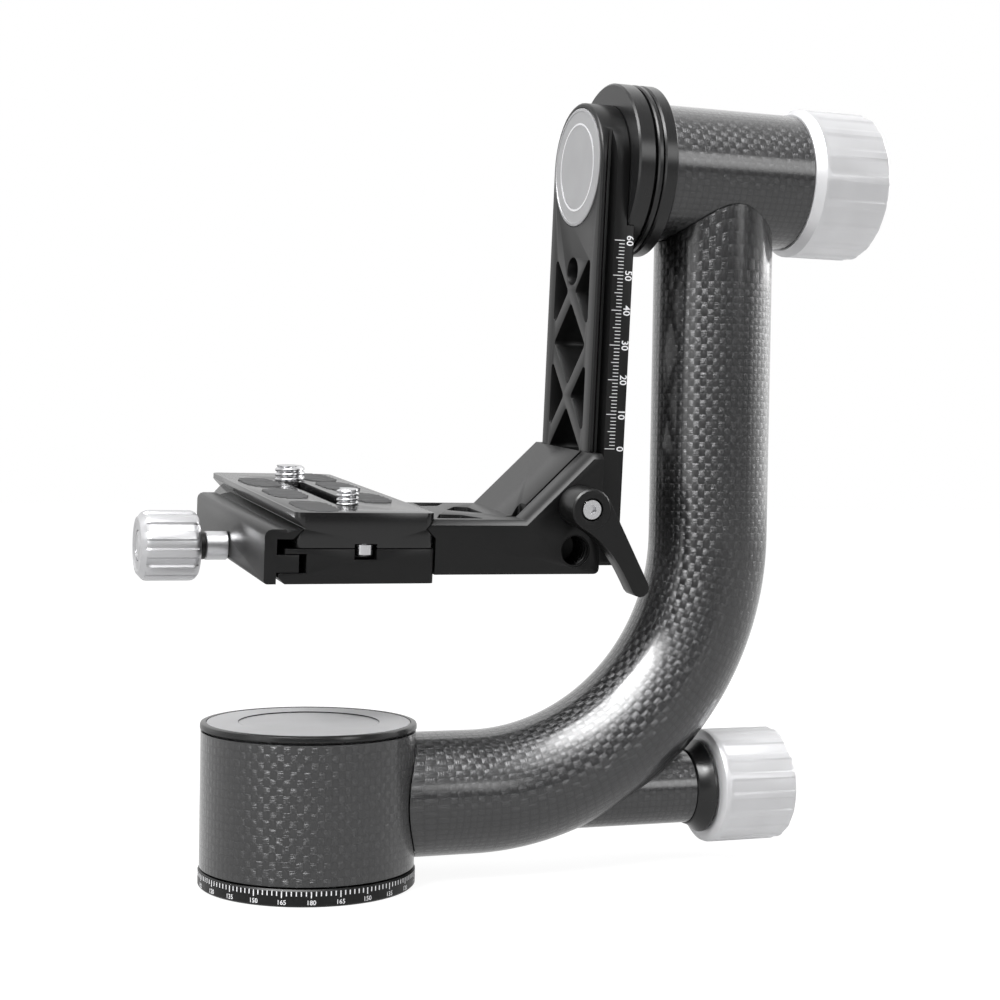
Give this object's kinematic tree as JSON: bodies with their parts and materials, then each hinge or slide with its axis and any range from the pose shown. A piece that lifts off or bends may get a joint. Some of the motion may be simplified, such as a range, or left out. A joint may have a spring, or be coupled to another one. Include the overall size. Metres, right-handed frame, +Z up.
{
  "type": "cantilever camera mount",
  "caption": "Side-mount tripod head: a bent carbon tube on a panning base carries a tilting arm with a height-adjustable quick-release clamp for a long lens.",
  "frame": {"origin": "centre of the foot's underside, at the mouth of the tripod socket and on the panning axis", "axes": "+Z up along the panning axis, +X from the foot to the upright tube, so the arm tilts about X and the plate points along Y"},
  "size_m": [0.2143, 0.134, 0.2309],
  "materials": {
    "carbon": "clear-coated plain-weave carbon fibre",
    "black_anodised": "satin black anodised, bright chamfers",
    "silver_anodised": "satin silver anodised",
    "label": "turned grey inlay",
    "steel": "machined",
    "bare_aluminium": "machined",
    "bearing_bronze": "turned bronze",
    "brake_pad": "moulded friction material"
  },
  "bodies": {
    "foot": {"base_plate": "black_anodised", "tripod_bush": "steel", "pan_spindle": "steel", "pan_bearing_lower": "bearing_bronze", "pan_bearing_upper": "bearing_bronze", "spindle_nut": "steel"},
    "panning_frame": {"base_housing": "bare_aluminium", "base_sleeve": "carbon", "cap_rim": "black_anodised", "cap_screw_1": "steel", "cap_screw_2": "steel", "cap_screw_3": "steel", "cap_disc": "label", "j_tube": "carbon", "lock_tube": "carbon", "lock_collar": "black_anodised", "top_tube": "carbon", "tilt_housing": "bare_aluminium", "tilt_bearing_left": "bearing_bronze", "tilt_bearing_right": "bearing_bronze", "stator_ring": "black_anodised", "thrust_washer": "black_anodised", "tilt_end_plate": "bare_aluminium"},
    "pan_brake": {"pan_brake_pad": "brake_pad", "pan_lock_rod": "steel"},
    "pan_handwheel": {"pan_knob": "silver_anodised"},
    "tilt_brake": {"tilt_brake_pad": "brake_pad", "tilt_lock_screw": "steel"},
    "tilt_handwheel": {"tilt_knob": "silver_anodised"},
    "arm": {"tilt_shaft": "steel", "shaft_nut": "steel", "rotor_flange": "black_anodised", "swing_arm": "black_anodised", "arm_disc": "label", "arm_screw_1": "steel", "arm_screw_2": "steel", "arm_screw_3": "steel", "arm_screw_4": "steel"},
    "slider": {"carriage": "black_anodised", "clamp_body": "black_anodised", "bracket_screw_1": "steel", "bracket_screw_2": "steel", "guide_pin_1": "steel", "guide_pin_2": "steel", "jaw_spring_1": "steel", "jaw_spring_2": "steel"},
    "lever": {"clamp_lever": "black_anodised", "lever_screw": "steel", "lever_stud": "steel", "lever_spring": "steel"},
    "jaw": {"clamp_jaw": "black_anodised"},
    "jaw_handwheel": {"clamp_knob": "silver_anodised", "knob_collar": "silver_anodised", "knob_cap": "silver_anodised", "draw_screw": "steel"},
    "plate": {"quick_release_plate": "black_anodised", "stop_screw": "silver_anodised"},
    "front_screw_holder": {"screw_retainer": "steel"},
    "front_screw": {"front_camera_screw": "steel"},
    "rear_screw": {"rear_camera_screw": "steel"}
  },
  "joints": [
    {"name": "pan_turn", "type": "hinge", "parent": "foot", "child": "panning_frame", "pos_m": [0, 0, 0.02], "axis": [0, 0, 1], "continuous": true},
    {"name": "pan_brake_slide", "type": "slide", "parent": "panning_frame", "child": "pan_brake", "axis": [1, 0, 0], "range_m": [0, 0.00125]},
    {"name": "pan_knob_turn", "type": "hinge", "parent": "pan_brake", "child": "pan_handwheel", "pos_m": [0.13, 0, 0.0218], "axis": [1, 0, 0], "range_deg": [0, 360]},
    {"name": "tilt_brake_slide", "type": "slide", "parent": "panning_frame", "child": "tilt_brake", "axis": [1, 0, 0], "range_m": [0, 0.00125]},
    {"name": "tilt_knob_turn", "type": "hinge", "parent": "tilt_brake", "child": "tilt_handwheel", "pos_m": [0.158, 0, 0.2059], "axis": [1, 0, 0], "range_deg": [0, 360]},
    {"name": "tilt_turn", "type": "hinge", "parent": "panning_frame", "child": "arm", "pos_m": [0.09, 0, 0.2059], "axis": [1, 0, 0], "continuous": true},
    {"name": "carriage_slide", "type": "slide", "parent": "arm", "child": "slider", "axis": [0, -0.0792, 0.9969], "range_m": [0, 0.06]},
    {"name": "lever_turn", "type": "hinge", "parent": "slider", "child": "lever", "pos_m": [0.07335, -0.01652, 0.10698], "axis": [0, -0.9969, -0.0792], "range_deg": [0, 90]},
    {"name": "jaw_slide", "type": "slide", "parent": "slider", "child": "jaw", "axis": [-1, 0, 0], "range_m": [0, 0.0045]},
    {"name": "clamp_knob_turn", "type": "hinge", "parent": "jaw", "child": "jaw_handwheel", "pos_m": [-0.03, 0.03414, 0.09305], "axis": [-1, 0, 0], "range_deg": [0, 1080]},
    {"name": "plate_slide", "type": "slide", "parent": "slider", "child": "plate", "axis": [0, 0.9969, 0.0792], "range_m": [-0.06, 0]},
    {"name": "front_screw_slide", "type": "slide", "parent": "plate", "child": "front_screw_holder", "axis": [0, 0.9969, 0.0792], "range_m": [0, 0.05]},
    {"name": "front_screw_spin", "type": "hinge", "parent": "front_screw_holder", "child": "front_screw", "pos_m": [0.0113, 0.00423, 0.10592], "axis": [0, -0.0792, 0.9969], "continuous": true},
    {"name": "rear_screw_spin", "type": "hinge", "parent": "plate", "child": "rear_screw", "pos_m": [0.0113, 0.0757, 0.1116], "axis": [0, -0.0792, 0.9969], "continuous": true}
  ],
  "couplings": [
    {"joint": "pan_brake_slide", "follows": "pan_knob_turn", "m_per_rad": 0.00019894},
    {"joint": "tilt_brake_slide", "follows": "tilt_knob_turn", "m_per_rad": 0.00019894},
    {"joint": "clamp_knob_turn", "follows": "jaw_slide", "rad_per_m": 4188.8}
  ]
}
